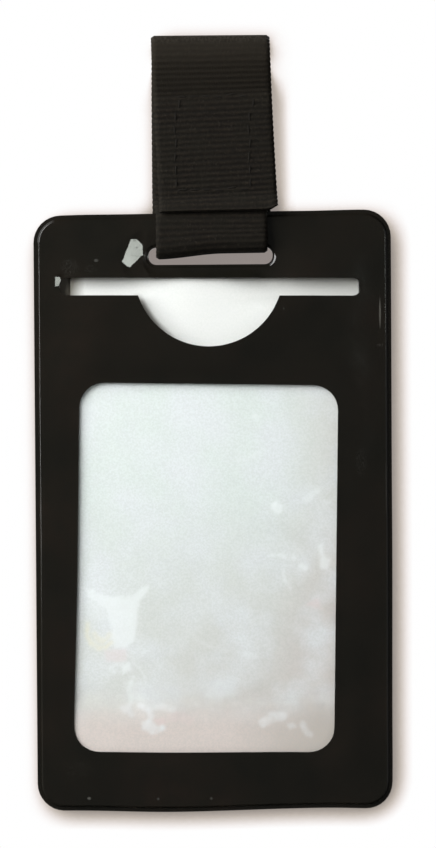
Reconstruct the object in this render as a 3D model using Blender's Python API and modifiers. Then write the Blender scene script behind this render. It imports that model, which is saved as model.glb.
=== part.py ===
# Badge holder on a webbing strap: black vinyl pouch for one card, clear windows, sewn strap.
# Metres, +Z up, the front faces -Y. The origin is where a hook bears inside the strap's top loop.

import math

import bmesh
import bpy

# The blank card, at the top of its travel down the pocket
card_width = 0.05398
card_height = 0.0856
card_thickness = 0.00076
card_corner_radius = 0.00318
card_offset = 0.0005
card_clearance = 0.0002
card_travel = 0.0126

# The pouch. A drop is measured down from its top edge.
vinyl_thickness = 0.0005
film_thickness = 0.00025
layer_gap = 0.0002
side_room = 0.00456
edge_weld_width = 0.0008
hole_weld_width = 0.0007
shoulder_width = 0.001
holder_corner_radius = 0.005

# The hole that the strap goes through, below the top band
band_height = 0.0065
strap_side_clearance = 0.0006
strap_hole_height = 0.0032
strap_hole_corner_radius = 0.0015
strap_hole_offset = -0.00025

# The mouth that the card goes in by, and the thumb notch below it
hole_to_mouth = 0.0025
mouth_side_clearance = 0.00111
mouth_height = 0.0033
mouth_corner_radius = 0.0014
mouth_offset = -0.0004
notch_radius = 0.0138
notch_depth = 0.0095
notch_offset = -0.0005

# The windows, cut a little out of square with the pouch
notch_to_window = 0.007
window_side_border = 0.00925
window_foot_border = 0.0109
window_corner_radius = 0.0047
window_offset = -0.00136
window_turn = 1.1
film_overlap = 0.0013
film_corner_radius = 0.005

# The strap. A height is measured up from the pouch's top edge.
webbing_width = 0.022
webbing_thickness = 0.001
webbing_gap = 0.0003
eye_radius = 0.0032
eye_length = 0.0108
front_run_turn = 2.3
bend_height = 0.0033
bend_cut_gap = 0.0003
loop_slack = 0.0006
pivot_height = 0.0018
free_end_height = 0.0006
free_end_lift = 0.0017

# The box stitch through all three layers of webbing
stitch_width = 0.0138
stitch_height = 0.0174
stitch_base_margin = 0.0009
stitch_top_margin = 0.0008
stitch_offset = 0.0003
stitch_corner_radius = 0.0005
inner_end_margin = 0.0015
thread_diameter = 0.0004
thread_gap = 0.0001

# How finely curves are divided, and how far a cutter runs past what it cuts
corner_steps = 6
notch_steps = 24
loop_steps = 14
bend_steps = 6
shoulder_steps = 3
cutter_overrun = 0.002
merge_distance = 0.000002
crease_angle = 40

# Drops in the pouch, and its size round the card
strap_hole_width = webbing_width + 2 * strap_side_clearance
strap_hole_floor = band_height + strap_hole_height
card_drop = strap_hole_floor + hole_weld_width + shoulder_width + card_clearance
holder_width = card_width + 2 * (side_room + shoulder_width + edge_weld_width)
pocket_floor = card_drop + card_height + card_travel + card_clearance
holder_height = pocket_floor + shoulder_width + edge_weld_width
mouth_width = card_width + 2 * mouth_side_clearance
mouth_drop = strap_hole_floor + hole_to_mouth
mouth_floor = mouth_drop + mouth_height
window_width = holder_width - 2 * window_side_border
window_drop = mouth_floor + notch_depth + notch_to_window
window_height = holder_height - window_drop - window_foot_border

# Levels through the thickness, measured from the middle of the card
film_level = card_thickness / 2 + layer_gap + film_thickness / 2
raised_level = film_level + film_thickness / 2 + layer_gap + vinyl_thickness / 2
welded_level = layer_gap / 2 + vinyl_thickness / 2
run_level = webbing_thickness + webbing_gap
band_level = raised_level + vinyl_thickness / 2 + webbing_gap + webbing_thickness / 2

# Heights in the strap
stitch_base = bend_height + stitch_base_margin
stitch_top = stitch_base + stitch_height
pinch_height = stitch_top + stitch_top_margin
crown_height = pinch_height + eye_length - webbing_thickness / 2
top_edge = -(crown_height - webbing_thickness / 2)

black_vinyl = ("black_vinyl", (0.0116, 0.0110, 0.0086), 0.24, 0.0)
clear_film = ("clear_film", (0.86, 0.89, 0.88), 0.12, 0.0)
white_card = ("white_card", (0.88, 0.92, 0.88), 0.5, 0.0)
black_webbing = ("black_webbing", (0.017, 0.0144, 0.0110), 0.85, 0.0)
black_thread = ("black_thread", (0.022, 0.019, 0.0150), 0.7, 0.0)


def clear_scene():
    for item in list(bpy.data.objects):
        bpy.data.objects.remove(item, do_unlink=True)


def new_collection(name):
    made = bpy.data.collections.new(name)
    bpy.context.scene.collection.children.link(made)
    return made


def material(look):
    name, colour, roughness, metallic = look
    made = bpy.data.materials.get(name)
    if made:
        return made
    made = bpy.data.materials.new(name)
    made.use_nodes = True
    shader = made.node_tree.nodes["Principled BSDF"]
    shader.inputs["Base Color"].default_value = (*colour, 1)
    shader.inputs["Roughness"].default_value = roughness
    shader.inputs["Metallic"].default_value = metallic
    return made


def add_object(name, data, collection, look=None, parent=None):
    made = bpy.data.objects.new(name, data)
    collection.objects.link(made)
    if look:
        data.materials.append(material(look))
    made.parent = parent
    return made


def add_empty(name, collection, height, parent=None):
    made = bpy.data.objects.new(name, None)
    collection.objects.link(made)
    made.parent = parent
    made.location.z = height
    made.empty_display_size = webbing_width
    return made


def arc(centre, radius, start, end, steps):
    # Points on a circle from one angle to another, in degrees.
    points = []
    for step in range(steps + 1):
        angle = math.radians(start + (end - start) * step / steps)
        points.append((centre[0] + radius * math.cos(angle), centre[1] + radius * math.sin(angle)))
    return points


def rounded_outline(width, height, radius):
    # A rectangle about the origin with round corners, anticlockwise from its right side.
    across = width / 2 - radius
    up = height / 2 - radius
    corners = [(across, up), (-across, up), (-across, -up), (across, -up)]
    points = []
    for turn, corner in enumerate(corners):
        points += arc(corner, radius, 90 * turn, 90 * turn + 90, corner_steps)
    return points


def turned(points, degrees):
    angle = math.radians(degrees)
    return [
        (x * math.cos(angle) + z * math.sin(angle), z * math.cos(angle) - x * math.sin(angle))
        for x, z in points
    ]


def moved(points, x, z):
    return [(point[0] + x, point[1] + z) for point in points]


def window_outline(grown_by, radius):
    # The window, or a sheet that covers it, in the pouch's own axes below its top edge.
    outline = rounded_outline(window_width + 2 * grown_by, window_height + 2 * grown_by, radius)
    return moved(turned(outline, window_turn), window_offset, -window_drop - window_height / 2)


def mouth_outline():
    # The card's mouth with the thumb notch let into its lower side.
    left = mouth_offset - mouth_width / 2
    right = mouth_offset + mouth_width / 2
    corner = mouth_corner_radius
    notch_centre = (notch_offset, -mouth_floor - notch_depth + notch_radius)
    reach = math.degrees(math.asin((notch_radius - notch_depth) / notch_radius))
    points = arc((right - corner, -mouth_drop - corner), corner, 0, 90, corner_steps)
    points += arc((left + corner, -mouth_drop - corner), corner, 90, 180, corner_steps)
    points += arc((left + corner, -mouth_floor + corner), corner, 180, 270, corner_steps)
    points += arc(notch_centre, notch_radius, 180 + reach, 360 - reach, notch_steps)
    points += arc((right - corner, -mouth_floor + corner), corner, 270, 360, corner_steps)
    return points


def flat_curve(name, outline, thickness):
    curve = bpy.data.curves.new(name, "CURVE")
    curve.dimensions = "2D"
    curve.fill_mode = "BOTH"
    curve.extrude = thickness / 2
    curve.render_resolution_u = 0
    spline = curve.splines.new("POLY")
    spline.points.add(len(outline) - 1)
    for point, (x, z) in zip(spline.points, outline):
        point.co = (x, z, 0, 1)
    spline.use_cyclic_u = True
    return curve


def add_sheet(name, outline, thickness, level, collection, look, parent, height=0.0):
    # A flat sheet standing in the XZ plane at its level through the thickness.
    made = add_object(name, flat_curve(name, outline, thickness), collection, look, parent)
    made.rotation_euler.x = math.radians(90)
    made.location = (0, level, height)
    return made


def add_cutter(name, outline, collection, parent):
    # A prism through the whole thickness, as a mesh with its caps welded on.
    depth = 2 * (raised_level + vinyl_thickness + cutter_overrun)
    guide = add_sheet(name + "_guide", outline, depth, 0, collection, None, parent)
    bpy.context.view_layer.update()
    evaluated = guide.evaluated_get(bpy.context.evaluated_depsgraph_get())
    mesh = bpy.data.meshes.new_from_object(evaluated)
    shape = bmesh.new()
    shape.from_mesh(mesh)
    bmesh.ops.remove_doubles(shape, verts=shape.verts, dist=merge_distance)
    bmesh.ops.recalc_face_normals(shape, faces=shape.faces)
    shape.to_mesh(mesh)
    shape.free()
    cutter = add_object(name, mesh, collection)
    cutter.matrix_world = guide.matrix_world
    bpy.data.objects.remove(guide, do_unlink=True)
    cutter.hide_render = True
    cutter.display_type = "WIRE"
    return cutter


def ring(shape, outline, level):
    verts = [shape.verts.new((x, level, z)) for x, z in outline]
    return [shape.edges.new((verts[i - 1], verts[i])) for i in range(len(verts))]


def raised_rings(shape, side, outline_at, weld_width):
    # Rings from a cut edge across its flat weld and up the round shoulder, bridged to each other.
    loops = [ring(shape, outline_at(0), side * welded_level)]
    for step in range(shoulder_steps + 1):
        share = step / shoulder_steps
        rise = (1 - math.cos(math.pi * share)) / 2
        level = welded_level + (raised_level - welded_level) * rise
        loops.append(ring(shape, outline_at(weld_width + shoulder_width * share), side * level))
    for outer, inner in zip(loops, loops[1:]):
        bmesh.ops.bridge_loops(shape, edges=outer + inner)
    return loops[-1]


def finished_mesh(name, shape):
    bmesh.ops.recalc_face_normals(shape, faces=shape.faces)
    mesh = bpy.data.meshes.new(name)
    shape.to_mesh(mesh)
    shape.free()
    mesh.shade_smooth()
    mesh.set_sharp_from_angle(angle=math.radians(crease_angle))
    return mesh


def cover_mesh(name, side):
    # The middle surface of one cover: raised all over but for the welds at its edge and strap hole.
    def edge_at(inset):
        outline = rounded_outline(
            holder_width - 2 * inset, holder_height - 2 * inset, holder_corner_radius - inset
        )
        return moved(outline, 0, -holder_height / 2)

    def hole_at(outset):
        outline = rounded_outline(
            strap_hole_width + 2 * outset,
            strap_hole_height + 2 * outset,
            strap_hole_corner_radius + outset,
        )
        return moved(outline, strap_hole_offset, -band_height - strap_hole_height / 2)

    shape = bmesh.new()
    outer = raised_rings(shape, side, edge_at, edge_weld_width)
    inner = raised_rings(shape, side, hole_at, hole_weld_width)
    bmesh.ops.bridge_loops(shape, edges=outer + inner)
    return finished_mesh(name, shape)


def add_cover(name, side, cutters, collection, parent, height):
    cover = add_object(name, cover_mesh(name, side), collection, black_vinyl, parent)
    cover.location.z = height
    thicken(cover, vinyl_thickness)
    for cutter in cutters:
        cut = cover.modifiers.new(cutter.name, "BOOLEAN")
        cut.object = cutter
        cut.operation = "DIFFERENCE"
        cut.solver = "EXACT"
    return cover


def thicken(item, thickness):
    shell = item.modifiers.new("Thickness", "SOLIDIFY")
    shell.thickness = thickness
    shell.offset = 0
    shell.solidify_mode = "NON_MANIFOLD"
    shell.nonmanifold_thickness_mode = "EVEN"


def eased(share):
    return share * share * (3 - 2 * share)


def eased_run(start, end, steps):
    # Points that leave one place and arrive at the other both straight up or down.
    points = []
    for step in range(steps + 1):
        share = step / steps
        level = start[0] + (end[0] - start[0]) * eased(share)
        points.append((level, start[1] + (end[1] - start[1]) * share))
    return points


def add_webbing(name, route, collection, parent, height, run_turn=0.0):
    # A strip of webbing along a route of (level, height) points. Its front run is turned in its plane.
    slope = math.tan(math.radians(run_turn))
    shape = bmesh.new()
    verts = [shape.verts.new((-webbing_width / 2, level, up)) for level, up in route]
    edges = [shape.edges.new(pair) for pair in zip(verts, verts[1:])]
    made = bmesh.ops.extrude_edge_only(shape, edges=edges)["geom"]
    far_side = [part for part in made if isinstance(part, bmesh.types.BMVert)]
    bmesh.ops.translate(shape, verts=far_side, vec=(webbing_width, 0, 0))
    for vert in shape.verts:
        if vert.co.y < 0:
            fall = crown_height - vert.co.z
            share = min(fall / (crown_height - pinch_height), 1)
            vert.co.z += slope * vert.co.x * share
            vert.co.x += slope * fall
    strip = add_object(name, finished_mesh(name, shape), collection, black_webbing, parent)
    strip.location.z = height
    thicken(strip, webbing_thickness)
    return strip


def upper_route():
    # Up the front run, round the eye and down the back run, with straight stretches tangent to the eye.
    radius = eye_radius + webbing_thickness / 2
    centre = (0, crown_height - radius)
    away = (-run_level, pinch_height - centre[1])
    spread = math.degrees(math.acos(radius / math.hypot(*away)))
    pinch_angle = math.degrees(math.atan2(away[1], away[0])) + 360
    start = pinch_angle - spread
    around = arc(centre, radius, start, 180 - start, loop_steps)
    return [
        (-run_level, bend_height),
        (-run_level, pinch_height),
        *around,
        (run_level, pinch_height),
        (run_level, bend_height),
    ]


def band_loop_route():
    # Down behind the band, through the strap hole, up in front of it and in between the runs.
    below_cut = bend_height - bend_cut_gap
    shoulder_drop = edge_weld_width + shoulder_width
    turn_centre = (0, band_level - band_height - loop_slack - webbing_thickness / 2)
    return [
        *eased_run((run_level, below_cut), (band_level, -shoulder_drop), bend_steps),
        *arc(turn_centre, band_level, 0, -180, loop_steps),
        *eased_run((-band_level, -shoulder_drop), (0, below_cut), bend_steps),
    ]


def free_end_route():
    return [
        (-run_level - free_end_lift, free_end_height),
        (-run_level, bend_height - bend_cut_gap),
    ]


def inner_end_route():
    return [(0, bend_height), (0, stitch_top + inner_end_margin)]


def add_stitching(name, side, collection, parent):
    # One thread of the box stitch, lying on the outside of its run.
    curve = bpy.data.curves.new(name, "CURVE")
    curve.dimensions = "3D"
    curve.bevel_depth = thread_diameter / 2
    curve.bevel_resolution = 1
    curve.render_resolution_u = 0
    outline = rounded_outline(stitch_width, stitch_height, stitch_corner_radius)
    spline = curve.splines.new("POLY")
    spline.points.add(len(outline) - 1)
    for point, (x, z) in zip(spline.points, outline):
        point.co = (x, 0, z, 1)
    spline.use_cyclic_u = True
    thread = add_object(name, curve, collection, black_thread, parent)
    level = run_level + webbing_thickness / 2 + thread_gap + thread_diameter / 2
    middle = top_edge + stitch_base + stitch_height / 2
    thread.location = (stitch_offset, side * level, middle)
    return thread


def build_strap(parts):
    add_webbing("strap_upper", upper_route(), parts, None, top_edge, front_run_turn)
    add_webbing("strap_inner_end", inner_end_route(), parts, None, top_edge)
    add_webbing("strap_free_end", free_end_route(), parts, None, top_edge, front_run_turn)
    add_stitching("stitching_front", -1, parts, None)
    add_stitching("stitching_back", 1, parts, None)


def build_pouch(parts, cutters, swing):
    # The pouch hangs from the fold of its strap, so its pieces are placed below that axis.
    below = -pivot_height
    window = add_cutter("window_cutter", window_outline(0, window_corner_radius), cutters, swing)
    mouth = add_cutter("mouth_cutter", mouth_outline(), cutters, swing)
    for cutter in (window, mouth):
        cutter.location.z += below
    add_cover("front_cover", -1, [window, mouth], parts, swing, below)
    add_cover("back_cover", 1, [window], parts, swing, below)
    film = window_outline(film_overlap, film_corner_radius)
    add_sheet("front_window", film, film_thickness, -film_level, parts, clear_film, swing, below)
    add_sheet("back_window", film, film_thickness, film_level, parts, clear_film, swing, below)
    add_webbing("strap_band_loop", band_loop_route(), parts, swing, below)


def build_card(parts, swing):
    slide = add_empty("card_slide", parts, -pivot_height - card_drop, swing)
    outline = rounded_outline(card_width, card_height, card_corner_radius)
    outline = moved(outline, card_offset, -card_height / 2)
    add_sheet("card", outline, card_thickness, 0, parts, white_card, slide)


def main():
    clear_scene()
    parts = new_collection("badge_holder")
    cutters = new_collection("badge_holder_cutters")
    swing = add_empty("holder_swing", parts, top_edge + pivot_height)
    build_strap(parts)
    build_pouch(parts, cutters, swing)
    build_card(parts, swing)


main()
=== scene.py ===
import math

import bmesh
import bpy
from mathutils import Matrix, Vector, noise


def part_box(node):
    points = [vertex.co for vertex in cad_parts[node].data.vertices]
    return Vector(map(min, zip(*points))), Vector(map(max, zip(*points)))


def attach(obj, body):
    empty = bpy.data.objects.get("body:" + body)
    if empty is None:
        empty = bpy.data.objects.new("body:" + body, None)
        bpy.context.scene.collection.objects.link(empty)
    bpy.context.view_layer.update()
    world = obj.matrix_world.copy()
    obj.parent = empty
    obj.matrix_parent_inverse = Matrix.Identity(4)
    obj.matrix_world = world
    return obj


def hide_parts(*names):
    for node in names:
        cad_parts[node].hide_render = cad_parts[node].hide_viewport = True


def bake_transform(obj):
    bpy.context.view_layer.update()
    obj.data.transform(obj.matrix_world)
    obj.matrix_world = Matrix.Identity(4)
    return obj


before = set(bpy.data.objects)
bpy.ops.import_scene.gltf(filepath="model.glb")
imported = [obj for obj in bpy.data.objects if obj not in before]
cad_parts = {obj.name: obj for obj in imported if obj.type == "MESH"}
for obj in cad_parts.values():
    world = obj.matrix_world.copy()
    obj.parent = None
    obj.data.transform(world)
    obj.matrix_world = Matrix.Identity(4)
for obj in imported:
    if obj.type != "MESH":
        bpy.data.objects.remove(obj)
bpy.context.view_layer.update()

# Badge holder: black vinyl pouch with clear windows and a white card, on a sewn webbing strap.
# Metres. The front faces -Y, and the strap's eye is round the origin.


def smooth(share):
    share = min(max(share, 0), 1)
    return share * share * (3 - 2 * share)


def hump(distance, reach):
    return math.exp(-(distance / reach) ** 2)


def wander(x, z, reach, seed):
    return noise.noise(Vector((x / reach, z / reach, seed)))


def alongTable(table, at):
    # A value off a table of (place, value) pairs, with soft steps between them
    for (lowPlace, lowValue), (highPlace, highValue) in zip(table, table[1:]):
        if at <= highPlace:
            return lowValue + (highValue - lowValue) * smooth((at - lowPlace) / (highPlace - lowPlace))
    return table[-1][1]


def standing(centre, y, size=(1, 1), turn=0):
    # Stands a flat XY shape up so that it faces the front, sized, turned and put in its place
    return (Matrix.Translation((centre[0], y, centre[1])) @ Matrix.Rotation(math.radians(turn), 4, "Y")
            @ Matrix.Rotation(math.radians(90), 4, "X") @ Matrix.Diagonal((size[0], size[1], 1, 1)))


def roundCorners(bm, verts, radius, segments):
    return bmesh.ops.bevel(bm, geom=verts, offset=radius, offset_type="OFFSET", segments=segments,
                           profile=0.5, affect="VERTICES", material=-1)["verts"]


def finishPiece(name, bm, material, sharpAngle=40):
    bmesh.ops.recalc_face_normals(bm, faces=bm.faces)
    mesh = bpy.data.meshes.new(name)
    bm.to_mesh(mesh)
    bm.free()
    mesh.materials.append(material)
    mesh.shade_smooth()
    mesh.set_sharp_from_angle(angle=math.radians(sharpAngle))
    piece = bpy.data.objects.new(name, mesh)
    bpy.context.scene.collection.objects.link(piece)
    return piece


def addWall(piece, thickness, offset):
    wall = piece.modifiers.new("wall", "SOLIDIFY")
    wall.thickness = thickness
    wall.offset = offset
    return wall


def roundEdges(piece, width, sharpest):
    rounding = piece.modifiers.new("roundEdges", "BEVEL")
    rounding.width = width
    rounding.segments = 2
    rounding.limit_method = "ANGLE"
    rounding.angle_limit = math.radians(sharpest)
    return rounding


def fillInputs(node, inputs):
    # Sets a node's sockets, and links those whose value is the output of another node
    for key, value in inputs.items():
        if isinstance(value, bpy.types.NodeSocket):
            node.id_data.links.new(value, node.inputs[key])
        else:
            node.inputs[key].default_value = value
    return node


def addNode(tree, kind, inputs=None, **settings):
    node = tree.nodes.new("ShaderNode" + kind)
    for key, value in settings.items():
        setattr(node, key, value)
    return fillInputs(node, inputs or {})


def newMaterial(name):
    material = bpy.data.materials.new(name)
    material.use_nodes = True
    tree = material.node_tree
    place = addNode(tree, "TexCoord").outputs["Object"]
    return material, tree.nodes["Principled BSDF"], place


def setSurface(tree, kind, inputs):
    surface = addNode(tree, kind, inputs).outputs[0]
    tree.links.new(surface, tree.nodes["Material Output"].inputs["Surface"])


# This node and those of the next functions go into the tree of the outputs that they are given
def combine(operation, first, second=0.0):
    socket = first if isinstance(first, bpy.types.NodeSocket) else second
    return addNode(socket.id_data, "Math", {0: first, 1: second}, operation=operation).outputs["Value"]


def product(value, *others):
    for other in others:
        value = combine("MULTIPLY", value, other)
    return value


def combineVectors(operation, first, second=(0, 0, 0)):
    return addNode(first.id_data, "VectorMath", {0: first, 1: second}, operation=operation).outputs[0]


def lengthOf(vector):
    return addNode(vector.id_data, "VectorMath", {0: vector}, operation="LENGTH").outputs["Value"]


def axesOf(vector):
    return addNode(vector.id_data, "SeparateXYZ", {"Vector": vector}).outputs


def remap(value, low, high, newLow=0.0, newHigh=1.0):
    inputs = {"Value": value, "From Min": low, "From Max": high, "To Min": newLow, "To Max": newHigh}
    return addNode(value.id_data, "MapRange", inputs).outputs["Result"]


def noiseAt(place, scale, detail=2.0, roughness=0.5):
    inputs = {"Vector": place, "Scale": scale, "Detail": detail, "Roughness": roughness}
    return addNode(place.id_data, "TexNoise", inputs).outputs["Fac"]


def spotAt(place, centre, size, softness=0.5):
    # 1 inside an ellipse over the piece's front, 0 outside, with a soft rim
    away = combineVectors("SUBTRACT", place, (centre[0], 0, centre[1]))
    scaled = combineVectors("MULTIPLY", away, (1 / size[0], 0, 1 / size[1]))
    return remap(lengthOf(scaled), 1 - softness, 1, 1.0, 0.0)


def bumpOf(strength, distance, height):
    inputs = {"Strength": strength, "Distance": distance, "Height": height}
    return addNode(height.id_data, "Bump", inputs).outputs["Normal"]


def blendColours(factor, *colours):
    first, second = (colour if isinstance(colour, bpy.types.NodeSocket) else (*colour, 1) for colour in colours)
    inputs = {"Factor": factor, 6: first, 7: second}
    return addNode(factor.id_data, "Mix", inputs, data_type="RGBA").outputs[2]


def layered(colour, *coats):
    # Lays coats over a colour one by one, each given as its share and its own colour
    for share, coat in coats:
        colour = blendColours(share, colour, coat)
    return colour


camera = {
    "distance": 0.9,
    "aim": (0.0009, 0, -0.0717),
    "frameHeight": 0.1585,
    "roll": 0.45,
    "sensor": 0.024,
}

studio = {
    "roomLevel": 0.10,        # plain light from all round
    "roomColour": (1.0, 0.96, 0.91),
    "mirrorFront": 0.08,      # what gloss sees behind the camera
    "mirrorBack": 0.5,        # and in the white backdrop
    "mirrorEnds": 0.1,        # how much of both is left straight above and below
    "floorHeight": -0.32,
    "floorRadius": 0.4,
    "floorColours": ((0.83, 0.83, 0.82), (0.87, 0.87, 0.86)),
    "backdropLevel": 0.0031,
    "backdropReach": 0.13,
    "shadowReach": 0.0052,
    "shadowLean": (-0.5, -0.75, 0.53),
    "shadowRange": (0.07, 0.43),      # how hidden the sheet is where its shadow starts and is full
    "shadowTints": [(0.0, (1, 1, 1)), (0.05, (0.965, 0.93, 0.92)), (0.24, (0.82, 0.76, 0.735)),
                    (0.5, (0.555, 0.495, 0.44)), (0.86, (0.33, 0.294, 0.264)), (1.0, (0.28, 0.247, 0.232))],
    "strapShadow": (-0.032, -0.026, 0.72),    # between these heights it fades to this share of its depth
}

lamps = [
    # name, place, width, height, watts, colour
    ("keyLamp", (-0.27, -0.19, 0.125), 0.3, 0.3, 2.5, (1, 1, 1)),
    ("fillLamp", (0.75, -0.75, -0.05), 0.5, 0.5, 0.45, (1, 1, 1)),
    ("leftStrip", (-0.9, -0.3, -0.03), 0.1, 0.19, 1.6, (1, 1, 1)),
    ("glareLamp", (0.28, -0.92, -0.008), 0.09, 0.05, 0.18, (0.94, 1, 0.92)),
    ("backLamp", (0.5, 0.85, 0.4), 0.5, 0.5, 6.0, (1, 1, 1)),
]


def addCamera():
    eye = bpy.data.objects.new("camera", bpy.data.cameras.new("camera"))
    bpy.context.scene.collection.objects.link(eye)
    eye.data.sensor_width = camera["sensor"] * 1000
    eye.data.lens = camera["distance"] * eye.data.sensor_width / camera["frameHeight"]
    eye.data.clip_start = 0.01
    eye.location = Vector(camera["aim"]) - Vector((0, camera["distance"], 0))
    eye.rotation_euler = (math.radians(90), math.radians(camera["roll"]), 0)
    bpy.context.scene.camera = eye


def addLamps():
    for name, place, width, height, watts, colour in lamps:
        light = bpy.data.lights.new(name, "AREA")
        light.shape = "RECTANGLE"
        light.size = width
        light.size_y = height
        light.energy = watts
        light.color = colour
        lamp = bpy.data.objects.new(name, light)
        bpy.context.scene.collection.objects.link(lamp)
        lamp.location = place
        toAim = Vector(camera["aim"]) - Vector(place)
        lamp.rotation_euler = toAim.to_track_quat("-Z", "Y").to_euler()


def lightWorld():
    # Camera and see-through rays meet white. Gloss meets the white backdrop behind and the dark room in front.
    world = bpy.data.worlds.new("studioWorld")
    bpy.context.scene.world = world
    world.use_nodes = True
    tree = world.node_tree
    axes = axesOf(addNode(tree, "TexCoord").outputs["Generated"])
    mirrored = remap(axes["Y"], -0.3, 0.9, studio["mirrorFront"], studio["mirrorBack"])
    steep = remap(combine("ABSOLUTE", axes["Z"]), 0.3, 0.75, 1.0, studio["mirrorEnds"])
    ray = addNode(tree, "LightPath").outputs
    seen = combine("MAXIMUM", ray["Is Camera Ray"], ray["Is Transmission Ray"])
    gloss = product(ray["Is Glossy Ray"], mirrored, steep)
    plain = combine("SUBTRACT", 1.0, combine("MAXIMUM", seen, ray["Is Glossy Ray"]))
    level = combine("ADD", gloss, product(plain, studio["roomLevel"]))
    level = combine("ADD", seen, level)
    colour = blendColours(plain, (1, 1, 1), studio["roomColour"])
    fillInputs(tree.nodes["Background"], {"Strength": level, "Color": colour})


def addFloor():
    material, shader, place = newMaterial("paleFloor")
    tree = material.node_tree
    colour = blendColours(noiseAt(place, 60, 3), *studio["floorColours"])
    fillInputs(shader, {"Base Color": colour, "Roughness": 0.9})
    radius = studio["floorRadius"]
    fade = remap(lengthOf(place), 0.5 * radius, radius, 1.0, 0.0)
    clear = addNode(tree, "BsdfTransparent")
    setSurface(tree, "MixShader", {0: fade, 1: clear.outputs[0], 2: shader.outputs[0]})
    bm = bmesh.new()
    bmesh.ops.create_circle(bm, cap_ends=True, segments=96, radius=radius)
    floor = finishPiece("floor", bm, material)
    floor.location.z = studio["floorHeight"]
    floor.visible_glossy = False


def addBackdrop():
    # A clear sheet close behind the object that only takes its soft contact shadow, and only for the camera
    material, shader, place = newMaterial("softShadow")
    tree = material.node_tree
    tree.nodes.remove(shader)
    lean = addNode(tree, "CombineXYZ", dict(zip("XYZ", Vector(studio["shadowLean"]).normalized())))
    reach = {"Distance": studio["shadowReach"], "Normal": lean.outputs[0]}
    hidden = addNode(tree, "AmbientOcclusion", reach, samples=24)
    shade = combine("SUBTRACT", 1.0, hidden.outputs["AO"])
    low, high, share = studio["strapShadow"]
    facing = addNode(tree, "NewGeometry").outputs["Backfacing"]
    shade = product(remap(shade, *studio["shadowRange"]),
                    remap(axesOf(place)["Z"], low, high, 1.0, share),
                    combine("SUBTRACT", 1.0, facing))
    tint = addNode(tree, "ValToRGB", {"Fac": shade})
    stops = tint.color_ramp.elements
    while len(stops) < len(studio["shadowTints"]):
        stops.new(0.5)
    for stop, (position, colour) in zip(stops, studio["shadowTints"]):
        stop.position = position
        stop.color = (*colour, 1)
    setSurface(tree, "BsdfTransparent", {"Color": tint.outputs["Color"]})
    bm = bmesh.new()
    stood = standing((0, camera["aim"][2]), studio["backdropLevel"])
    bmesh.ops.create_grid(bm, x_segments=1, y_segments=1, size=studio["backdropReach"], matrix=stood)
    sheet = bpy.data.objects.new("backdrop", bpy.data.meshes.new("backdrop"))
    bm.to_mesh(sheet.data)
    bm.free()
    sheet.data.materials.append(material)
    bpy.context.scene.collection.objects.link(sheet)
    sheet.visible_diffuse = sheet.visible_glossy = sheet.visible_shadow = sheet.visible_transmission = False


bpy.context.scene.view_settings.view_transform = "Standard"
addCamera()
addLamps()
lightWorld()
addFloor()
addBackdrop()
print("studio ready")


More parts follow.
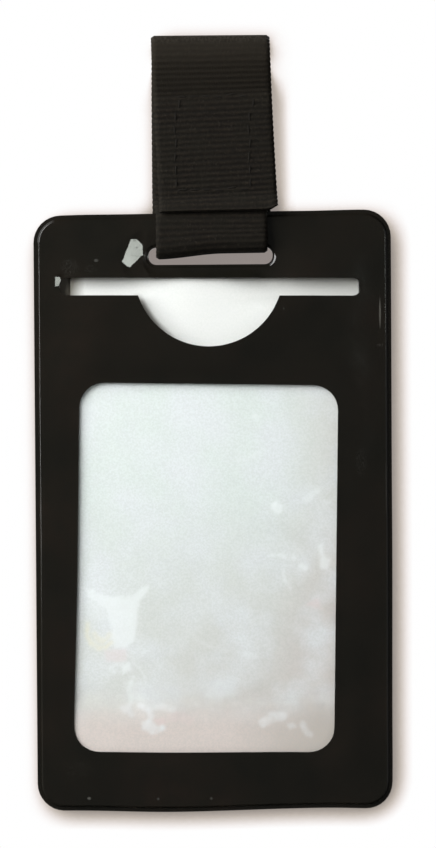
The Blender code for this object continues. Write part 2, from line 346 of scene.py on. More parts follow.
cover = {
    "cornerRadius": 0.005,
    "thickness": 0.0005,
    "weldLevel": 0.0005,      # the outside of the flat weld, from the middle of the pouch
    "edgeWeldWidth": 0.0007,
    "holeWeldWidth": 0.00035,
    "edgeRise": 0.00055,      # the round shoulder beside the weld at the outline
    "holeRise": 0.0002,       # and beside the one at the strap hole
    "backHoleRise": 0.0007,   # which is taller at the back, where the card's top is close
    "shoulderWidth": 0.00042,
    "shoulderSteps": 9,
    "apronWidth": 0.0002,     # a first flat row past the shoulder
    "pillowReach": 0.0100,    # over which the vinyl climbs to its full height
    "cornerSoftness": 0.0016,
    "holeSlope": 0.173,       # how steeply the vinyl climbs away from the strap hole
    "holeFootSlope": 4.0,     # times that, towards the mouth
    "pressedLip": (-0.0035, 0.012),     # but the strap presses the mouth's upper lip in: middle, half width
    "mouthLift": (0.0004, 0.007, 0.017, 0.008),   # how far the lower lip stands up, how wide, where it fades
    "windowPress": (0.00028, 0.0045),   # how far the vinyl sinks to the window's seam, and over which width
    # Beside the hole's left end the slope is one flat facet with these lines as its ends: a place, the way out
    "facetBelow": [((-0.01263, -0.03985), (0.70, -0.71)), ((-0.015, -0.0424), (0.0, -1.0)),
                   ((-0.01655, -0.04175), (-0.6, -0.8))],
    "facetAbove": [((-0.01263, -0.03824), (0.71, 0.71)), ((-0.015, -0.03693), (0.0, 1.0))],
    "facetCrest": (0.00236, -0.03693, 0.39),   # its width at a height, and how fast it widens below
    "beyondCrest": 0.25,
    "rightFade": 0.003,       # over which the lip's slope sets in from the hole's right end
    "mouthDip": (-0.0280, -0.0448, 0.0009, 0.0014),   # at the mouth's left end: place, half height, half width
    "mouthDipSlope": 0.235,
    "dipFade": 0.0006,
    "shortFade": 0.002,       # over which the lower lip and the crease set in
    "cutEdgeRadius": 0.00007,
    "spacing": 0.0012,
    "meshSize": 0.0013,
    # Where the mesh is finer: its edges' length, and the area from left to right and from foot to top
    "fineAreas": [(0.0003, (-0.0185, -0.0118, -0.0440, -0.0345)),
                  (0.00018, (-0.0305, -0.0284, -0.0465, -0.0432))],
    "backFineAreas": [(0.0005, (-0.0150, 0.0145, -0.0455, -0.0415)),
                      (0.0007, (-0.0290, 0.0300, -0.0465, -0.0425))],
    # How far each side of the outline strays, at places along it
    "topWander": [(-0.0334, -0.0004), (-0.0218, -0.0002), (0.0165, 0.0002), (0.0278, 0.00035),
                  (0.0334, 0.0003)],
    "footWander": [(-0.0334, 0.0004), (-0.027, 0.0003), (-0.0086, -0.0001), (0.0213, 0.00045),
                   (0.0334, 0.0002)],
    "rightWander": [(-0.144, -0.0004), (-0.134, -0.0003), (-0.09, -0.00005), (-0.037, 0.0001)],
    "leftWander": 0.00004,
    "wanderReach": 0.006,
    "windowFootRise": (0.0004, 0.005, -0.012, 0.03),   # how far, how wide, from where on and over which length
    "windowSideDrift": (0.0003, 0.004, 0.03),          # the same for its left side, down from its middle
    # Height, reach and seed of the gentle rise and fall
    "frontWaves": [(0.00006, 0.02, 3.1), (0.00001, 0.007, 8.4)],
    "backWaves": [(0.00007, 0.02, 23.7), (0.00001, 0.008, 5.2)],
    "wavesEdge": (0.0018, 0.004),  # how far inside the outline they start, and over which width
    "wavesTop": (-0.052, 0.008),   # at the front they fade out above this
    "crease": (-0.0003, -0.0565, -0.0612, 0.00008, 0.0003),   # its x, top and foot, how deep, how wide
    "cardRoom": 0.00018,      # the back cover stays this clear of the card where that leans back
    "cardRoomSlope": 1.2,
    "roomFade": 0.0006,
}

strapHole = {"centre": (-0.00025, -0.0403), "size": (0.0232, 0.0032), "cornerRadius": 0.0015, "turn": 0}

mouth = {
    "left": -0.0285, "right": 0.0277, "top": -0.0444, "foot": -0.0477,
    "cornerRadius": 0.0014,
    "turn": 0.5,
    "notchCentre": (-0.0006, -0.0433), "notchRadius": 0.0139, "notchSteps": 40,
}

window = {"centre": (-0.00140, -0.09865), "size": (0.0483, 0.0689), "cornerRadius": 0.0047, "turn": 1.1}

card = {
    "cornerRadius": 0.0007,
    "edgeRounding": 0.00012,
    "cells": (24, 40),
    "slide": 0.0126,          # how far down the pouch it can be pushed
    "leanFoot": -0.053,       # above this the card leans back
    "leanReach": 0.0085,
    "leanMiddle": (-0.0035, -0.00010),    # the place where it leans least, and how far there
    "leanSides": (0.015, 0.00055),        # how far away it leans most, and how far there
    "base": (0.895, 0.925, 0.895), "tooth": (0.955, 0.975, 0.95), "cloud": (0.935, 0.96, 0.95),
    # The colour of the painted shadow that the front cover's lips cast on the card
    "paintedShadow": (0.25, 0.24, 0.205),
    "roughness": 0.45,
    "toothBump": (0.15, 0.00005),
}

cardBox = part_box("card")
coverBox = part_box("front_cover")
coverSize = (coverBox[1].x - coverBox[0].x, coverBox[1].z - coverBox[0].z)
coverCentre = ((coverBox[1].x + coverBox[0].x) / 2, (coverBox[1].z + coverBox[0].z) / 2)
raisedLevel = -coverBox[0].y
edgeShelf = cover["weldLevel"] + cover["edgeRise"]    # where the vinyl starts its climb from the outline
flatRows = cover["shoulderWidth"] + cover["apronWidth"]
holeMargin = cover["holeWeldWidth"] + cover["shoulderWidth"] + cover["apronWidth"]
windowFoot = window["centre"][1] - window["size"][1] / 2
windowLeft = window["centre"][0] - window["size"][0] / 2


vinyl = {
    "base": (0.0080, 0.0076, 0.0057),
    "patch": (0.0142, 0.0108, 0.0079),    # faint warm patches
    "cloud": (0.0098, 0.0089, 0.0066),    # and smaller, cooler clouds
    "roughness": (0.05, 0.12),
    "pebble": (0.12, 0.0001),             # how strong and how high its grain is
    "lining": ((0.115, 0.102, 0.082), (0.155, 0.137, 0.112)),
    "liningRoughness": 0.55,      # the lining is the matt inner face
}

vinylScuffsAndGlints = [
    # place, half size, the noise levels between which it shows, colour
    ((-0.0265, -0.0422), (0.0021, 0.0019), 0.5, 0.66, (0.030, 0.029, 0.025)),
    ((-0.0226, -0.0425), (0.0016, 0.0009), 0.55, 0.62, (0.026, 0.026, 0.022)),
    ((-0.0216, -0.0410), (0.0005, 0.00035), 0.2, 0.4, (0.05, 0.05, 0.045)),
    ((0.0276, -0.0790), (0.0014, 0.0036), 0.5, 0.68, (0.024, 0.023, 0.020)),
    # The next three are painted highlights: a short glint, its curl and a faint reflected line along the right
    # rim's shoulder
    ((0.0313, -0.0512), (0.00022, 0.0032), 0.2, 0.4, (0.085, 0.082, 0.072)),
    ((0.0314, -0.0572), (0.0010, 0.00035), 0.45, 0.6, (0.03, 0.028, 0.024)),
    ((0.0322, -0.0836), (0.00016, 0.0062), 0.35, 0.6, (0.03, 0.028, 0.025)),
    ((-0.0237, -0.1414), (0.0004, 0.0003), 0.2, 0.4, (0.09, 0.09, 0.08)),
    ((-0.0108, -0.1416), (0.0003, 0.0003), 0.2, 0.4, (0.05, 0.05, 0.045)),
    ((-0.0009, -0.1416), (0.0003, 0.0003), 0.2, 0.4, (0.05, 0.05, 0.045)),
    ((-0.0255, -0.1360), (0.0030, 0.0022), 0.58, 0.66, (0.024, 0.023, 0.019)),
]


def blackVinyl():
    # Glossy calendered vinyl: near black, faintly warm and cool in patches, with a soft unevenness, scuffs, and
    # painted glints along its right rim
    material, shader, place = newMaterial("blackVinyl")
    patches = remap(noiseAt(place, 60, 2), 0.4, 0.64)
    clouds = remap(noiseAt(place, 240, 3), 0.3, 0.7)
    colour = layered(vinyl["base"], (patches, vinyl["patch"]), (clouds, vinyl["cloud"]))
    grit = noiseAt(place, 5200, 2, 0.7)
    for centre, size, low, high, shade in vinylScuffsAndGlints:
        share = product(remap(grit, low, high), spotAt(place, centre, size))
        colour = blendColours(share, colour, shade)
    smears = remap(noiseAt(place, 150, 5, 0.6), 0.3, 0.75, *vinyl["roughness"])
    pebble = bumpOf(*vinyl["pebble"], noiseAt(place, 900, 3, 0.55))
    fillInputs(shader, {"Base Color": colour, "Roughness": smears, "Normal": pebble})
    return material


def vinylLining():
    material, shader, place = newMaterial("vinylLining")
    colour = blendColours(noiseAt(place, 300, 3), *vinyl["lining"])
    fillInputs(shader, {"Base Color": colour, "Roughness": vinyl["liningRoughness"]})
    return material


def evenEdges(bm, face):
    # Cuts a face's long edges into even steps
    for edge in [edge for edge in face.edges if edge.calc_length() > 2 * cover["spacing"]]:
        bmesh.ops.subdivide_edges(bm, edges=[edge], cuts=int(edge.calc_length() / cover["spacing"]))
    return face


def roundedFace(bm, centre, size, radius, level, turn=0):
    # One flat face with round corners and evenly spaced points, standing at its level and facing the front
    stood = standing(centre, -level, size, turn)
    made = bmesh.ops.create_grid(bm, x_segments=1, y_segments=1, size=0.5, matrix=stood)
    return evenEdges(bm, roundCorners(bm, made["verts"], radius, 8)[0].link_faces[0])


def mouthFace(bm, level):
    # The slot, with the thumb notch spun below it
    left, right, top, foot = (mouth[side] for side in ("left", "right", "top", "foot"))
    centre = Vector((mouth["notchCentre"][0], -level, mouth["notchCentre"][1]))
    reach = math.acos((centre.z - foot) / mouth["notchRadius"])
    spots = ((left, foot), (left, top), (right, top), (right, foot))
    corners = [bm.verts.new((x, -level, z)) for x, z in spots]
    start = bm.verts.new(centre + Vector((-math.sin(reach), 0, -math.cos(reach))) * mouth["notchRadius"])
    arc = bmesh.ops.spin(bm, geom=[start], cent=centre, axis=(0, 1, 0), angle=-2 * reach,
                         steps=mouth["notchSteps"])
    last = arc["geom_last"][0]
    chain = [start, *corners, last]
    edges = [bm.edges.new(pair) for pair in zip(chain, chain[1:])]
    rim = set(edges)
    walk, here = [start], start
    while here is not last:
        link = next(edge for edge in here.link_edges if edge not in rim)
        rim.add(link)
        here = link.other_vert(here)
        walk.append(here)
    bmesh.ops.contextual_create(bm, geom=list(rim))
    roundCorners(bm, corners, mouth["cornerRadius"], 6)
    face = evenEdges(bm, max(walk[len(walk) // 2].link_faces, key=lambda each: len(each.verts)))
    turned = Matrix.Rotation(math.radians(mouth["turn"]), 3, "Y")
    bmesh.ops.rotate(bm, verts=face.verts, cent=centre, matrix=turned)
    return face


def stepFace(bm, face, weldWidth, rise, fromWeld):
    # Insets a face across its flat weld and its round shoulder, up to the raised level or down from it
    steps = cover["shoulderSteps"]
    rows = [(weldWidth, 0)] if fromWeld else []
    levels = [math.sin(math.pi / 2 * step / steps) for step in range(steps + 1)]
    climb = [(cover["shoulderWidth"] / steps, rise * (high - low)) for low, high in zip(levels, levels[1:])]
    apron = [(cover["apronWidth"], 0)]
    rows += climb + apron if fromWeld else apron + climb[::-1] + [(weldWidth, 0)]
    for width, lift in rows:
        bmesh.ops.inset_region(bm, faces=[face], thickness=width, use_boundary=True, use_even_offset=True)
        bmesh.ops.translate(bm, verts=face.verts, vec=(0, -lift, 0))
    return face


def evenFill(bm, flat, size, rounds, area=None):
    # Splits the fill's long edges, in one area or all over, and evens out its triangles, but not its rims
    def inArea(vert):
        return area is None or (area[0] < vert.co.x < area[1] and area[2] < vert.co.z < area[3])

    def innerEdges():
        return [edge for edge in bm.edges if (inArea(edge.verts[0]) or inArea(edge.verts[1]))
                and len(edge.link_faces) == 2 and all(face[flat] for face in edge.link_faces)]

    for _ in range(rounds):
        longEdges = [edge for edge in innerEdges() if edge.calc_length() > size]
        bmesh.ops.subdivide_edges(bm, edges=longEdges, cuts=1)
        bmesh.ops.triangulate(bm, faces=[face for face in bm.faces if face[flat] and len(face.verts) > 3])
        near = innerEdges()
        around = list({face for edge in near for face in edge.link_faces})
        bmesh.ops.beautify_fill(bm, faces=around, edges=near, method="ANGLE")
        loose = [vert for vert in {vert for face in around if face.is_valid for vert in face.verts}
                 if inArea(vert) and not vert.is_boundary and all(face[flat] for face in vert.link_faces)]
        bmesh.ops.smooth_vert(bm, verts=loose, factor=0.5, use_axis_x=True, use_axis_z=True)


def openingDistance(x, z, opening):
    # How far a point is from the outline of the strap hole or the window
    turn = math.radians(opening["turn"])
    width, height = opening["size"]
    awayX, awayZ = x - opening["centre"][0], z - opening["centre"][1]
    across = abs(awayX * math.cos(turn) - awayZ * math.sin(turn)) - width / 2 + opening["cornerRadius"]
    up = abs(awayX * math.sin(turn) + awayZ * math.cos(turn)) - height / 2 + opening["cornerRadius"]
    return math.hypot(max(across, 0), max(up, 0)) - opening["cornerRadius"]


def mouthDistance(x, z):
    across = max(mouth["left"] - x, x - mouth["right"], 0)
    up = max(mouth["foot"] - z, z - mouth["top"], 0)
    toNotch = math.hypot(x - mouth["notchCentre"][0], z - mouth["notchCentre"][1]) - mouth["notchRadius"]
    return min(math.hypot(across, up), max(toNotch, 0) if z < mouth["top"] else 1)


def edgeDistance(x, z):
    # How far inside the pouch's outline a point is, with round turns at the corners
    softness = cover["cornerSoftness"]
    fromSide = coverSize[0] / 2 - abs(x - coverCentre[0])
    fromEnd = coverSize[1] / 2 - abs(z - coverCentre[1])
    return -softness * math.log(math.exp(-fromSide / softness) + math.exp(-fromEnd / softness))


def pastLines(x, z, lines):
    # How far a point is past the furthest of some lines, 0 before them
    return max(0, *((x - place[0]) * way[0] + (z - place[1]) * way[1] for place, way in lines))


def cardLean(x, z):
    # How far back the card leans at a place, away from the mouth's lip
    share = smooth((z - card["leanFoot"]) / card["leanReach"])
    aside = smooth(abs(x - card["leanMiddle"][0]) / card["leanSides"][0])
    return share * (card["leanMiddle"][1] + (card["leanSides"][1] - card["leanMiddle"][1]) * aside)


def cardRoomLevel(x, z):
    # How far out the back cover has to stay. It may fall away past the card's edges.
    low, high = cardBox
    past = math.hypot(max(low.x - x, x - high.x, 0), max(low.z - z, z - high.z, 0))
    highest = min(z + card["slide"], high.z)
    clear = high.y + cardLean(x, highest) + cover["cardRoom"] + cover["thickness"]
    return clear - cover["cardRoomSlope"] * max(past - cover["cardRoom"], 0)


def wavesAt(x, z, waves):
    # The gentle rise and fall of a cover, none of it near the weld
    start, length = cover["wavesEdge"]
    inside = smooth((edgeDistance(x, z) - start) / length)
    return inside * sum(height * wander(x, z, reach, seed) for height, reach, seed in waves)


def edgeLevel(x, z):
    # The vinyl's level as it climbs from the shelf beside its outline, less its dip to the window's seam
    climb = smooth((edgeDistance(x, z) - cover["edgeWeldWidth"] - flatRows) / cover["pillowReach"])
    depth, width = cover["windowPress"]
    press = depth * smooth(1 - openingDistance(x, z, window) / width)
    return edgeShelf + (raisedLevel - edgeShelf) * climb - press


def backLevel(x, z):
    # The level of the back cover, which leaves room for the card where that leans back
    fromRim = max(openingDistance(x, z, strapHole) - holeMargin, 0)
    fromHole = cover["weldLevel"] + cover["backHoleRise"] + cover["holeSlope"] * fromRim
    level = min(edgeLevel(x, z), fromHole) + wavesAt(x, z, cover["backWaves"])
    return level + max(cardRoomLevel(x, z) - level, 0) * smooth(fromRim / cover["roomFade"])


def frontLevel(x, z):
    # The front's level, with a flat facet beside the hole, a dip at the mouth's end and a raised lower lip
    fromRim = max(openingDistance(x, z, strapHole) - holeMargin, 0)
    (holeX, holeZ), (width, height) = strapHole["centre"], strapHole["size"]
    across = min(max(abs(x - holeX) - width / 2 - holeMargin, 0), fromRim)
    middle, halfWidth = cover["pressedLip"]
    pressed = max(1 - abs(x - middle) / halfWidth, 0)
    footSlope = 1 + (1 - pressed) * (cover["holeFootSlope"] - 1)
    crestWidth, crestHeight, widening = cover["facetCrest"]
    crest = crestWidth + widening * (crestHeight - z)
    if x < holeX:
        rise = min(across, crest) + cover["beyondCrest"] * max(across - crest, 0)
        rise += min(pastLines(x, z, cover["facetBelow"]), footSlope * fromRim)
        rise += min(pastLines(x, z, cover["facetAbove"]), fromRim)
    else:
        below = smooth((holeZ - z) / height * 2)
        below *= smooth((holeX + width / 2 - strapHole["cornerRadius"] - x) / cover["rightFade"])
        rise = fromRim * (1 + below * (footSlope - 1))
    level = min(edgeLevel(x, z), cover["weldLevel"] + cover["holeRise"] + cover["holeSlope"] * rise)
    lift, liftWidth, liftEnd, liftFade = cover["mouthLift"]
    beyond = 1 - smooth((abs(x - mouth["notchCentre"][0]) - liftEnd) / liftFade)
    beyond *= smooth((mouth["top"] - z) / cover["shortFade"])
    level += lift * beyond * smooth(1 - mouthDistance(x, z) / liftWidth)
    dipX, dipZ, halfHeight, reach = cover["mouthDip"]
    inDip = 1 - smooth((abs(z - dipZ) - halfHeight) / cover["dipFade"])
    level -= cover["mouthDipSlope"] * max(reach - abs(x - dipX), 0) * inDip
    fadeFoot, fadeLength = cover["wavesTop"]
    level += (1 - smooth((z - fadeFoot) / fadeLength)) * wavesAt(x, z, cover["frontWaves"])
    creaseX, top, foot, depth, halfWidth = cover["crease"]
    if z < top:
        level -= depth * hump(x - creaseX, halfWidth) * smooth((z - foot) / cover["shortFade"])
    return level


def strayFromPlan(vert):
    # Lets the outline wander, the window's foot climb to the right and its left side drift out on its way down
    x, z = vert.co.x, vert.co.z
    near = smooth(1 - edgeDistance(x, z) / cover["wanderReach"])
    upper = smooth(0.5 + (z - coverCentre[1]) / 0.02)
    vert.co.z += near * (upper * alongTable(cover["topWander"], x)
                         + (1 - upper) * alongTable(cover["footWander"], x))
    vert.co.x += near * (alongTable(cover["rightWander"], z) if x > 0 else cover["leftWander"])
    rise, reach, start, length = cover["windowFootRise"]
    vert.co.z += rise * hump(z - windowFoot, reach) * smooth((x - start) / length)
    drift, reach, length = cover["windowSideDrift"]
    vert.co.x -= drift * hump(x - windowLeft, reach) * smooth((window["centre"][1] - z) / length)


def makeCover(name, isFront):
    bm = bmesh.new()
    flat = bm.faces.layers.int.new("flat")
    outline = roundedFace(bm, coverCentre, coverSize, cover["cornerRadius"], cover["weldLevel"])
    plateau = stepFace(bm, outline, cover["edgeWeldWidth"], cover["edgeRise"], True)
    grown = tuple(length + 2 * holeMargin for length in strapHole["size"])
    rise = cover["holeRise"] if isFront else cover["backHoleRise"]
    earlier = set(bm.edges)
    hole = roundedFace(bm, strapHole["centre"], grown, strapHole["cornerRadius"] + holeMargin,
                       cover["weldLevel"] + rise)
    stepFace(bm, hole, cover["holeWeldWidth"], -rise, False)
    ringEdges = [edge for edge in bm.edges if edge not in earlier and edge.is_boundary]
    bmesh.ops.delete(bm, geom=[hole], context="FACES_ONLY")
    openings = [roundedFace(bm, window["centre"], window["size"], window["cornerRadius"], edgeShelf,
                            window["turn"])]
    if isFront:
        openings.append(mouthFace(bm, edgeShelf))
    rims = list(plateau.edges) + ringEdges + [edge for opening in openings for edge in opening.edges]
    bmesh.ops.delete(bm, geom=[plateau, *openings], context="FACES_ONLY")
    filled = bmesh.ops.triangle_fill(bm, edges=rims, use_beauty=True, normal=(0, -1, 0))
    for part in filled["geom"]:
        if isinstance(part, bmesh.types.BMFace):
            part[flat] = 1
    evenFill(bm, flat, cover["meshSize"], 7)
    for size, area in cover["fineAreas"] if isFront else cover["backFineAreas"]:
        evenFill(bm, flat, size, 4, area)
    levelAt = frontLevel if isFront else backLevel
    for vert in {vert for face in bm.faces if face[flat] for vert in face.verts}:
        vert.co.y = -levelAt(vert.co.x, vert.co.z)
    for vert in bm.verts:
        strayFromPlan(vert)
    if not isFront:
        bmesh.ops.scale(bm, verts=bm.verts, vec=(1, -1, 1))
    piece = finishPiece(name, bm, vinylFinish, 60)
    piece.data.materials.append(liningFinish)
    addWall(piece, cover["thickness"], -1).material_offset = 1
    roundEdges(piece, cover["cutEdgeRadius"], 55).harden_normals = True
    return piece


vinylFinish = blackVinyl()
liningFinish = vinylLining()
frontCover = makeCover("frontCover", True)
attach(frontCover, "pouch")
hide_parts("front_cover")
backCover = makeCover("backCover", False)
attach(backCover, "pouch")
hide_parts("back_cover")
print("covers made")


film = {
    "overlap": 0.0013,
    "thickness": 0.0002,
    "frontCells": (168, 240), "backCells": (40, 56),
    "markSoftness": 0.7, "markWander": 0.25,     # in millimetres, as the marks are
    # What the film lets through, and the colours of the haze on it
    # In both, the second colour is painted shade towards the film's foot and its right side
    "tint": {"base": (0.910, 0.924, 0.926), "paintedFalloff": (0.872, 0.852, 0.846), "cloud": (0.936, 0.938, 0.958),
             "pink": (0.94, 0.865, 0.88), "yellow": (0.97, 0.95, 0.86), "paintedGlare": (0.975, 0.98, 0.99),
             "speck": (0.62, 0.60, 0.56)},
    "milk": {"base": (0.785, 0.842, 0.825), "paintedFalloff": (0.70, 0.67, 0.65), "cloud": (0.815, 0.85, 0.865),
             "grain": (0.55, 0.56, 0.54), "pink": (0.82, 0.70, 0.69), "yellow": (0.88, 0.84, 0.70),
             "paintedGlare": (0.90, 0.93, 0.94)},
    "clouds": 0.8, "grain": 0.27,     # how strongly they show
    "foot": (-0.1190, -0.1278),       # below the card the haze grows to its full share between these heights
    "footWave": 0.0035,
    # The foot's milky haze at its left and its right, warm and darker to the right in painted shade
    "footHazeShaded": ((0.775, 0.707, 0.667), (0.575, 0.535, 0.485)),   # at its left and its right
    "haze": (0.37, 0.93),             # its share over the card, and along the foot
    "roughness": 0.08,
    "creases": (0.25, 0.0001),
    "slack": (0.00006, 0.013), "folds": (0.00003, 0.006),         # height and reach
}

filmMarks = {
    # In millimetres: an outline, or a line and its half width, and how strong it is
    # The first kind are painted highlights: bright patches and swirls of light reflected off the film's slack
    "paintedGlare": [
        ([(-24.2, -101.8), (-22.9, -102.7), (-21.2, -103.5), (-19.2, -103.9), (-16.9, -103.9), (-15.1, -103.5),
          (-13.7, -102.6), (-12.4, -101.9), (-12.6, -102.8), (-14.1, -104.5), (-14.5, -106.7), (-14.5, -109.7),
          (-15.1, -111.9), (-16.6, -113.4), (-18.5, -113.4), (-19.2, -111.5), (-19.4, -108.9), (-20.3, -106.3),
          (-22, -104.8), (-23.7, -103.8)], None, 0.7),
        ([(-24, -102.2), (-21.2, -103.6), (-19, -104.1), (-15.2, -103.7), (-12.4, -102)], 0.3, 0.65),
        ([(-23.7, -103.5), (-20, -104.5), (-20, -107.5), (-22.2, -108.5), (-23.7, -107)], None, 0.25),
        ([(-17.2, -119.5), (-13.5, -119.5), (-13, -123.5), (-16, -124)], None, 0.3),
        ([(-17.6, -116.4), (-15.9, -116.2), (-15.7, -117.4), (-17.2, -118.3)], None, 0.8),
        ([(-18, -116.4), (-19.8, -116.8), (-18.7, -117.9)], 0.2, 0.6),
        ([(-15.3, -116.2), (-14, -117.2), (-13.3, -118.7), (-12.9, -120.6)], 0.2, 0.6),
        ([(-15.4, -119.1), (-16.1, -120.9), (-15.8, -123.3), (-16.5, -124.5), (-15.8, -125.8)], 0.5, 0.6),
        ([(-15.4, -120.7), (-14.1, -120.7), (-13.5, -123.2)], 0.2, 0.45),
        ([(-18, -124.5), (-16, -123.7), (-15.6, -125.2), (-16.9, -125.6)], None, 0.6),
        ([(-14.1, -124.1), (-12.2, -124.9), (-12.2, -126.7), (-13, -128), (-11.9, -129),
          (-9.8, -128.3)], 0.6, 0.7),
        ([(-12.2, -124.7), (-10.4, -124.3), (-8.1, -124.9)], 0.6, 0.4),
        ([(-13.9, -127.1), (-12.2, -126.7), (-10.8, -128.2), (-11.9, -129.5), (-13.6, -128.6)], None, 0.65),
        ([(11.6, -87), (12, -87.6)], 0.9, 0.85),
        ([(17.2, -85.8), (19.3, -84.2)], 0.6, 0.55),
        ([(20.6, -86.4), (21.5, -86.6)], 0.25, 0.6),
        ([(19.2, -94.5), (20.3, -94.3), (20.5, -96.3), (21.6, -97.3), (21.2, -99.2), (19.6, -98.8),
          (19.8, -96.7)], None, 0.75),
        ([(16.4, -98.4), (16.9, -98.6)], 0.6, 0.7),
        ([(14.8, -96.7), (15.1, -96.8)], 0.3, 0.6),
        ([(10.4, -96.3), (12.5, -96.3), (13.2, -96.8)], 0.3, 0.6),
        ([(12.8, -99.1), (13.2, -101), (14.1, -102.5)], 0.2, 0.6),
        ([(9.1, -127.5), (10.6, -126.4), (12.4, -126.4)], 0.9, 0.5),
        ([(13.2, -127.9), (14.5, -127.3), (15.2, -128.4), (13.9, -129)], None, 0.5),
        ([(16.3, -127.9), (17.1, -129.6), (17.8, -129.8)], 0.6, 0.4),
        ([(7.8, -70.3), (8.2, -70.6)], 0.6, 0.6),
        ([(4.6, -78.8), (8.3, -77.6)], 0.5, 0.3),
        ([(-3.5, -112), (0, -113.6), (4.7, -114.3), (8, -115.1)], 0.2, 0.3),
    ],
    "pink": [
        ([(-20.6, -113.8), (-16.6, -113.6), (-16.5, -115.9), (-20.4, -116)], None, 0.4),
        ([(-11.7, -126.7), (-9.8, -126.6), (-8.9, -127.3), (-10.4, -128.1)], None, 0.6),
        ([(-8.5, -126.4), (-6.6, -126.2), (-4.8, -127)], 0.8, 0.3),
        ([(16.9, -105.5), (19.3, -104.4), (20.1, -106.6)], None, 0.5),
    ],
    "yellow": [
        ([(-23.7, -108.9), (-23.9, -110.8), (-23.2, -112.4), (-21.9, -113.4), (-20.4, -113.2),
          (-19.4, -112.3)], 0.4, 0.55),
        ([(-22.6, -110.8), (-21.7, -111.7), (-20.7, -112.1), (-19.6, -110.8)], 0.5, 0.45),
    ],
    "speck": [
        ([(8.1, -96.3), (8.3, -96)], 0.1, 0.8),
        ([(11.9, -107.5), (12.1, -107.5)], 0.1, 0.9),
        ([(20.6, -70.9), (20.8, -70.8)], 0.1, 0.6),
        ([(18.1, -71.6), (18.2, -71.5)], 0.1, 0.5),
        ([(-4.4, -94.1), (-4.2, -94.1)], 0.1, 0.5),
        ([(4, -115.1), (4.2, -115.1)], 0.1, 0.4),
    ],
}


def clearFilm():
    # Thin clear sheet, a little tinted and hazy, with painted highlights in bright patches and painted shade
    # towards its foot and right side, milky along its foot
    material, shader, place = newMaterial("clearFilm")
    tree = material.node_tree
    tree.nodes.remove(shader)
    marks = addNode(tree, "Attribute", attribute_name="marks").outputs
    # The first channel holds the painted highlights on the film
    paintedGlare, pink, yellow = addNode(tree, "SeparateColor", {"Color": marks["Color"]}).outputs
    speck = combine("SUBTRACT", 1.0, marks["Alpha"])
    axes = axesOf(place)
    grain = remap(noiseAt(place, 3000, 1, 0.6), 0.35, 0.65, 0.0, film["grain"])
    clouds = product(remap(noiseAt(place, 120, 3, 0.55), 0.4, 0.65), film["clouds"])
    # Painted shade: the film's tint and haze grow darker and warmer towards its foot and its right side, where
    # the light falls off
    paintedFalloff = product(remap(axes["Z"], -0.085, -0.125), remap(axes["X"], -0.02, 0.02, 0.45))
    paintedFalloff = combine("ADD", paintedFalloff, remap(axes["X"], 0.011, 0.0235, 0.0, 0.55))
    paintedFalloff = combine("MINIMUM", paintedFalloff, 1.0)
    wave = product(noiseAt(place, 200, 3), film["footWave"])
    top, foot = film["foot"]
    inputs = {"Value": combine("ADD", wave, axes["Z"]), "From Min": top, "From Max": foot}
    inFoot = addNode(tree, "MapRange", inputs, interpolation_type="SMOOTHSTEP").outputs["Result"]
    # Painted shade: the foot's haze darkens from left to right
    footColour = blendColours(remap(axes["X"], 0.002, 0.023), *film["footHazeShaded"])
    tint, milk = film["tint"], film["milk"]
    tinted = layered(tint["base"], (paintedFalloff, tint["paintedFalloff"]), (clouds, tint["cloud"]), (pink, tint["pink"]),
                     (yellow, tint["yellow"]), (paintedGlare, tint["paintedGlare"]), (speck, tint["speck"]))
    milky = layered(milk["base"], (paintedFalloff, milk["paintedFalloff"]), (clouds, milk["cloud"]), (inFoot, footColour),
                    (grain, milk["grain"]), (pink, milk["pink"]), (yellow, milk["yellow"]),
                    (paintedGlare, milk["paintedGlare"]))
    clear = addNode(tree, "BsdfTransparent", {"Color": tinted})
    haze = addNode(tree, "BsdfDiffuse", {"Color": milky})
    hazeShare = remap(inFoot, 0.0, 1.0, *film["haze"])
    body = addNode(tree, "MixShader", {0: hazeShare, 1: clear.outputs[0], 2: haze.outputs[0]})
    edgeOn = addNode(tree, "LayerWeight", {"Blend": 0.5}).outputs["Facing"]
    mirror = combine("ADD", product(combine("POWER", edgeOn, 5.0), 0.8), 0.04)
    creases = bumpOf(*film["creases"], noiseAt(place, 500, 3))
    gloss = addNode(tree, "BsdfGlossy", {"Roughness": film["roughness"], "Normal": creases})
    setSurface(tree, "MixShader", {0: mirror, 1: body.outputs[0], 2: gloss.outputs[0]})
    return material


def distanceToLine(x, z, points):
    nearest = math.inf
    for (startX, startZ), (endX, endZ) in zip(points, points[1:]):
        alongX, alongZ = endX - startX, endZ - startZ
        share = ((x - startX) * alongX + (z - startZ) * alongZ) / (alongX ** 2 + alongZ ** 2)
        share = min(max(share, 0), 1)
        nearest = min(nearest, math.hypot(x - startX - share * alongX, z - startZ - share * alongZ))
    return nearest


def isInside(x, z, points):
    crossings = 0
    for (startX, startZ), (endX, endZ) in zip(points, points[1:] + points[:1]):
        if (startZ > z) != (endZ > z) and x < startX + (endX - startX) * (z - startZ) / (endZ - startZ):
            crossings += 1
    return crossings % 2 == 1


